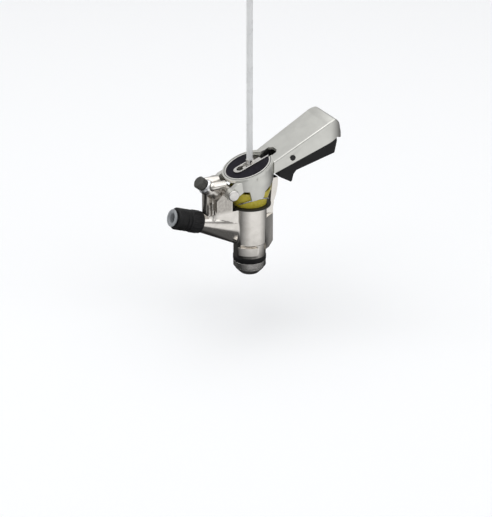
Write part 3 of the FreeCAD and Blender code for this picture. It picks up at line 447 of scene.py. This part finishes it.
def follow_rule(name, tree, sizes, place, mesh=None):
    piece = bpy.data.objects.new(name, mesh or bpy.data.meshes.new(name))
    scene.collection.objects.link(piece)
    modifier = piece.modifiers.new("rule", "NODES")
    modifier.node_group = tree
    for item in tree.interface.items_tree:
        if item.in_out == "INPUT" and item.name in sizes:
            modifier[item.identifier] = sizes[item.name]
    as_mesh(piece)
    piece.data.transform(place)
    print(name, "faces:", len(piece.data.polygons))
    return piece


# %% [markdown]
# ## The trigger's spring
# A coil of spring wire round the trigger's pivot pushes the trigger back out. A spiral curve that keeps its
# radius is a helix, and a small circle swept along it is the wire. The coil is made upright and then laid
# along Y.

# %% Trigger spring
def coil_rule():
    tree, sizes = new_rule("coil_of_wire", {"Coil radius": 3.0 * MM, "Wire radius": 0.5 * MM,
                                            "Height": 4.0 * MM, "Turns": 3.0})
    helix = add(tree, "GeometryNodeCurveSpiral", {
        "Resolution": 32, "Rotations": sizes["Turns"], "Start Radius": sizes["Coil radius"],
        "End Radius": sizes["Coil radius"], "Height": sizes["Height"]}).outputs["Curve"]
    wire = add(tree, "GeometryNodeCurvePrimitiveCircle", {"Resolution": 12, "Radius": sizes["Wire radius"]})
    sweep = add(tree, "GeometryNodeCurveToMesh", {"Curve": helix, "Profile Curve": wire.outputs["Curve"],
                                                  "Fill Caps": True}).outputs["Mesh"]
    return close_rule(tree, sweep, finishes["spring_wire"])


TRIGGER_PIVOT = Vector((39.0, 0, 111.4)) * MM
SPRING_LOW, SPRING_HIGH, SPRING_WIRE = 7.2, 11.4, 0.5
laid_along_y = Matrix.Rotation(math.radians(-90), 4, "X")
spring = follow_rule("trigger_spring_coil", coil_rule(), {
    "Coil radius": 3.3 * MM, "Wire radius": SPRING_WIRE * MM,
    "Height": (SPRING_HIGH - SPRING_LOW - 2 * SPRING_WIRE) * MM, "Turns": 3.0},
    Matrix.Translation(TRIGGER_PIVOT) @ laid_along_y @
    Matrix.Translation((0, 0, (SPRING_LOW + SPRING_WIRE) * MM)))
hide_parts("trigger_spring")
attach(spring, "trigger_lever")

# %% [markdown]
# ## The relief valve's spring
# The same rule makes the spring that holds the relief valve shut. Its lower end stands on a seat that moves
# with the knob, and its upper end presses on the fixed cap. The coil is made where it stands at rest and is
# tied to neither body.

# %% Relief spring
RELIEF_BASE, RELIEF_ANGLE = Vector((-56.0, 0, 94.4)) * MM, math.radians(40)
RELIEF_LOW, RELIEF_HIGH, RELIEF_WIRE = -17.2, -8.6, 0.45
along_relief = Matrix.Translation(RELIEF_BASE) @ Matrix.Rotation(RELIEF_ANGLE - math.radians(90), 4, "Y")
relief_coil = follow_rule("relief_spring_coil", coil_rule(), {
    "Coil radius": 3.4 * MM, "Wire radius": RELIEF_WIRE * MM,
    "Height": (RELIEF_HIGH - RELIEF_LOW - 2 * RELIEF_WIRE) * MM, "Turns": 5.0},
    along_relief @ Matrix.Translation((0, 0, (RELIEF_LOW + RELIEF_WIRE) * MM)))
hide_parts("relief_spring")
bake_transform(relief_coil)

# %% [markdown]
# ## The arched wire of the cup
# Bright slivers on the yellow cup are read as a spring wire on each side, which keeps it from lifting. It
# climbs an arch that stands upright along X, and the cup widens upwards, so each point's radius is found by
# going between the two until they agree. The points are a loose chain of edges, and the rule sweeps the
# wire along it.

# %% Arched wire
CLIP_WIRE, CLIP_ARCH_R, CLIP_ARCH_Z = 0.75, 24.0, 50.0
CUP_LOW, CUP_HEIGHT, CUP_LOW_R, CUP_TOP_R = 62.5, 17.0, 17.5, 21.5
# The cup's wall is upright for this much at each end and leans between. A wire on a leaning wall needs a
# little more than its own radius, and a hair's breadth keeps it off the wall.
CUP_LIP, CLIP_LEAN, CLIP_GAP = 2.0, 1.06, 0.01
AGREE_ROUNDS = 6


def cup_radius(z):
    share = min(max((z - CUP_LOW - CUP_LIP) / (CUP_HEIGHT - 2 * CUP_LIP), 0.0), 1.0)
    return CUP_LOW_R + share * (CUP_TOP_R - CUP_LOW_R)


def arch_points(side, count=41, half_angle=62.5):
    points = []
    for step in range(count):
        turn = math.radians(side * 90 + half_angle * (2 * step / (count - 1) - 1))
        radius = CUP_LOW_R
        for _ in range(AGREE_ROUNDS):
            x = radius * math.cos(turn)
            z = CLIP_ARCH_Z + math.sqrt(CLIP_ARCH_R ** 2 - x ** 2)
            radius = cup_radius(z) + CLIP_WIRE * CLIP_LEAN + CLIP_GAP
        points.append(Vector((radius * math.cos(turn), radius * math.sin(turn), z)) * MM)
    return points


def wire_rule(finish):
    tree, sizes = new_rule("wire_along_a_path", {"Wire radius": 0.5 * MM})
    path = add(tree, "GeometryNodeMeshToCurve", {"Mesh": sizes["Geometry"]}).outputs["Curve"]
    wire = add(tree, "GeometryNodeCurvePrimitiveCircle", {"Resolution": 16, "Radius": sizes["Wire radius"]})
    sweep = add(tree, "GeometryNodeCurveToMesh", {"Curve": path, "Profile Curve": wire.outputs["Curve"],
                                                  "Fill Caps": True}).outputs["Mesh"]
    return close_rule(tree, sweep, finish)


def chain(name, runs):
    # Each run is a row of points; edges join the points of a run, and no edge joins two runs.
    mesh = bpy.data.meshes.new(name)
    points, edges = [], []
    for run in runs:
        edges += [(len(points) + i, len(points) + i + 1) for i in range(len(run) - 1)]
        points += run
    mesh.from_pydata(points, edges, [])
    return mesh


arches = chain("arched_wire_path", [arch_points(-1), arch_points(1)])
arch_wire = follow_rule("arched_wire", wire_rule(finishes["spring_wire"]), {"Wire radius": CLIP_WIRE * MM},
                        Matrix.Identity(4), arches)
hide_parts("retaining_clip")
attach(arch_wire, "coupler")

# %% [markdown]
# ## Rings round the dark disc
# A thin light line and a thin dark line run round the disc. The light one is read as a bright lip that
# holds the disc, which is a guess. The dark one is drawn as a black wire in the groove outside it, painted
# shade for the groove's shadow line. Both are drawn as a wire on an arc, which stops short of the slot on
# one side and of the open corner on the other.

# %% Lip and painted shade line
DISC_MIDDLE, DISC_TILT = Vector((-2.6, 0, 104.0)) * MM, math.radians(-20)
on_disc = Matrix.Translation(DISC_MIDDLE) @ Matrix.Rotation(DISC_TILT, 4, "Y")
ARC_START, ARC_END, ARC_STEPS = 66, 343, 120
RING_HEIGHT = -0.1


def disc_ring(name, radius, wire, slot_name):
    arc = []
    for step in range(ARC_STEPS + 1):
        turn = math.radians(ARC_START + (ARC_END - ARC_START) * step / ARC_STEPS)
        arc.append(Vector((radius * math.cos(turn), radius * math.sin(turn), RING_HEIGHT)) * MM)
    ring = follow_rule(name, wire_rule(finishes[slot_name]), {"Wire radius": wire * MM}, on_disc,
                       chain(name + "_path", [arc]))
    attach(ring, "lever")


disc_ring("disc_lip", radius=23.35, wire=0.4, slot_name="turned_stainless")
# The black wire stands in for the groove's shadow line: painted shade.
disc_ring("disc_painted_shade_line", radius=24.9, wire=0.32, slot_name="black_rubber")

# %% [markdown]
# ## Grip ribs of the union nut
# Faint lengthwise lines on the nut are read as ribs for the fingers, as a nut that is turned by hand often
# has. Each rib is a thin round rod, half sunk into the nut, and a ring of points gives each its place. The
# ring is made round Z and then laid along the slanted gas branch.

# %% Grip ribs
GAS_BASE, GAS_ANGLE = Vector((0, 0, 31.7)) * MM, math.radians(19.5)
NUT_SEAT, NUT_GAP, NUT_LENGTH = 60.7, 0.3, 14.5
FIRST_RIB = math.radians(15)
along_branch = Matrix.Translation(GAS_BASE) @ Matrix.Rotation(GAS_ANGLE - math.radians(90), 4, "Y")


def ring_rule():
    tree, sizes = new_rule("ring_of_ribs", {"Count": 12, "Ring radius": 10.0 * MM, "Rib radius": 1.0 * MM,
                                            "Rib length": 8.0 * MM})
    ring = add(tree, "GeometryNodeMeshCircle", {"Vertices": sizes["Count"], "Radius": sizes["Ring radius"]})
    rib = add(tree, "GeometryNodeMeshCylinder", {"Vertices": 16, "Radius": sizes["Rib radius"],
                                                 "Depth": sizes["Rib length"]})
    ribs = add(tree, "GeometryNodeInstanceOnPoints", {"Points": ring.outputs["Mesh"],
                                                      "Instance": rib.outputs["Mesh"]}).outputs["Instances"]
    return close_rule(tree, ribs, finishes["black_plastic"])


nut_middle = (NUT_SEAT + NUT_GAP + NUT_LENGTH / 2) * MM
nut_ribs = follow_rule("union_nut_ribs", ring_rule(), {
    "Count": 12, "Ring radius": 10.75 * MM, "Rib radius": 1.0 * MM, "Rib length": 9.0 * MM},
    along_branch @ Matrix.Translation((0, 0, nut_middle)) @ Matrix.Rotation(FIRST_RIB, 4, "Z"))
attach(nut_ribs, "coupler")

# %% [markdown]
# ## The beer line
# The line is a stiff tube, pulled straight up by the tap above, so it needs only two points: the stop in
# the probe's head and its cut end in the fitting. A curve with a round bevel gives an even tube along them.

# %% Beer line
LINE_RADIUS = 3.175 * MM
line_route = [(0, 0, 83.5 * MM), (0, 0, 306.0 * MM)]
line_curve = bpy.data.curves.new("beer_line_tube", "CURVE")
line_curve.dimensions = "3D"
spline = line_curve.splines.new("NURBS")
spline.points.add(len(line_route) - 1)
for point, place in zip(spline.points, line_route):
    point.co = (*place, 1.0)
spline.order_u = 3
spline.use_endpoint_u = True
line_curve.bevel_depth = LINE_RADIUS
line_curve.bevel_resolution = 10
line_curve.use_fill_caps = True
line_curve.materials.append(finishes["line_tube"])
beer_line = bpy.data.objects.new("beer_line_tube", line_curve)
scene.collection.objects.link(beer_line)
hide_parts("beer_line")
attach(beer_line, "probe")

# %% [markdown]
# ## Floor
# The background is a pale floor that fills the view and catches a soft shadow. Polished metal has no colour
# of its own: it shows what stands around it, so photographers lay dark and pale cards round a metal thing
# to draw its shape. Seen from above, an upright wall mirrors the floor, so the cards lie flat here: a dark
# one on either side and a bright one in front on the right, with soft edges between. Each stop is an angle
# in degrees and a light. The floor next to the object is darker, like a well. All this is part of the
# floor's material, and only reflections see it: Light Path tells a mirrored ray from the camera's own.

# %% Floor with cards for reflections
FLOOR_Z = -60 * MM
FLOOR_SIZE = 14.0
WELL_RADIUS = 190 * MM
WELL_EDGE = 25 * MM
WELL_LIGHT = 0.12
DARK_CARD, GREY_FLOOR, BRIGHT_CARD = 0.15, 0.35, 1.0
CARDS = [(-180, GREY_FLOOR), (-100, GREY_FLOOR), (-85, DARK_CARD), (-60, DARK_CARD), (10, BRIGHT_CARD),
         (70, BRIGHT_CARD), (135, DARK_CARD), (155, DARK_CARD), (180, GREY_FLOOR)]


def ramp(tree, factor, stops):
    node = add(tree, "ShaderNodeValToRGB", {"Fac": factor})
    node.color_ramp.interpolation = "LINEAR"
    while len(node.color_ramp.elements) < len(stops):
        node.color_ramp.elements.new(0.5)
    for element, (place, light) in zip(node.color_ramp.elements, stops):
        element.position = place
        element.color = (light, light, light, 1)
    return node.outputs["Color"]


def card_floor():
    material, tree, shader, place = finish_named("pale_floor_paint", Roughness=0.9, Specular_IOR_Level=0.0,
                                                 Base_Color=colour("#f8f9fa"))
    # Angles count from the camera's side, positive to its right.
    turn = (0, 0, math.radians(90) - AZIMUTH)
    turned = add(tree, "ShaderNodeMapping", {"Vector": place, "Rotation": turn}).outputs["Vector"]
    angle = add(tree, "ShaderNodeTexGradient", {"Vector": turned}, gradient_type="RADIAL").outputs["Fac"]
    cards = ramp(tree, angle, [(0.5 + degrees / 360, light) for degrees, light in CARDS])
    reach = add(tree, "ShaderNodeVectorMath", {0: place}, operation="LENGTH").outputs["Value"]
    well = add(tree, "ShaderNodeMapRange", {
        "Value": reach, "From Min": WELL_RADIUS - WELL_EDGE, "From Max": WELL_RADIUS + WELL_EDGE,
        "To Min": WELL_LIGHT, "To Max": 1.0})
    glow = add(tree, "ShaderNodeEmission", {"Color": cards, "Strength": well.outputs["Result"]})
    mirrored = add(tree, "ShaderNodeLightPath").outputs["Is Glossy Ray"]
    seen = add(tree, "ShaderNodeMixShader", {0: mirrored, 1: shader.outputs["BSDF"],
                                             2: glow.outputs["Emission"]}).outputs["Shader"]
    tree.links.new(seen, tree.nodes["Material Output"].inputs["Surface"])
    return material


half = FLOOR_SIZE / 2
floor_mesh = bpy.data.meshes.new("floor")
corners = [(-half, -half, FLOOR_Z), (half, -half, FLOOR_Z), (half, half, FLOOR_Z), (-half, half, FLOOR_Z)]
floor_mesh.from_pydata(corners, [], [(0, 1, 2, 3)])
floor_mesh.materials.append(card_floor())
floor = bpy.data.objects.new("floor", floor_mesh)
scene.collection.objects.link(floor)
print("stops of light on the floor:", len(CARDS))

# %% [markdown]
# ## Lamps and sky
# Three large lamps and an even sky give light with soft edges and no hard shadow. The sky that reflections
# see is darker near the horizon than overhead, which parts the top of the lever from its side.

# %% Lamps and sky
# Height in the sky, from 0 at the horizon to 1 overhead, and the light that reflections see there.
SKY = [(0.0, 0.26), (0.12, 0.30), (0.35, 0.62), (0.75, 0.80)]


def soft_lamp(name, azimuth, elevation, distance, size, watts):
    turn, rise = AZIMUTH + math.radians(azimuth), math.radians(elevation)
    back = Vector((math.sin(turn) * math.cos(rise), -math.cos(turn) * math.cos(rise), math.sin(rise)))
    lamp = bpy.data.objects.new(name, bpy.data.lights.new(name, "AREA"))
    lamp.data.size = size
    lamp.data.energy = watts
    lamp.location = back * distance
    lamp.rotation_euler = back.to_track_quat("Z", "Y").to_euler()
    scene.collection.objects.link(lamp)


soft_lamp("key_lamp", azimuth=-70, elevation=55, distance=2.2, size=3.0, watts=20)
soft_lamp("fill_lamp", azimuth=60, elevation=35, distance=2.4, size=1.8, watts=9)
soft_lamp("top_lamp", azimuth=150, elevation=74, distance=2.0, size=2.6, watts=14)

sky = bpy.data.worlds.new("studio")
scene.world = sky
sky.use_nodes = True
sky_tree = sky.node_tree
even_light = sky_tree.nodes["Background"]
even_light.inputs["Color"].default_value = colour("#f4f4f5")
even_light.inputs["Strength"].default_value = 0.62
sky_place = add(sky_tree, "ShaderNodeTexCoord").outputs["Generated"]
height = add(sky_tree, "ShaderNodeSeparateXYZ", {"Vector": sky_place}).outputs["Z"]
mirrored_sky = ramp(sky_tree, height, SKY)
mirror_light = add(sky_tree, "ShaderNodeBackground", {"Color": mirrored_sky, "Strength": 1.0})
sky_mirrored = add(sky_tree, "ShaderNodeLightPath").outputs["Is Glossy Ray"]
sky_mix = add(sky_tree, "ShaderNodeMixShader", {0: sky_mirrored, 1: even_light.outputs["Background"],
                                                2: mirror_light.outputs["Background"]})
sky_tree.links.new(sky_mix.outputs["Shader"], sky_tree.nodes["World Output"].inputs["Surface"])
print("lamps and sky are set")
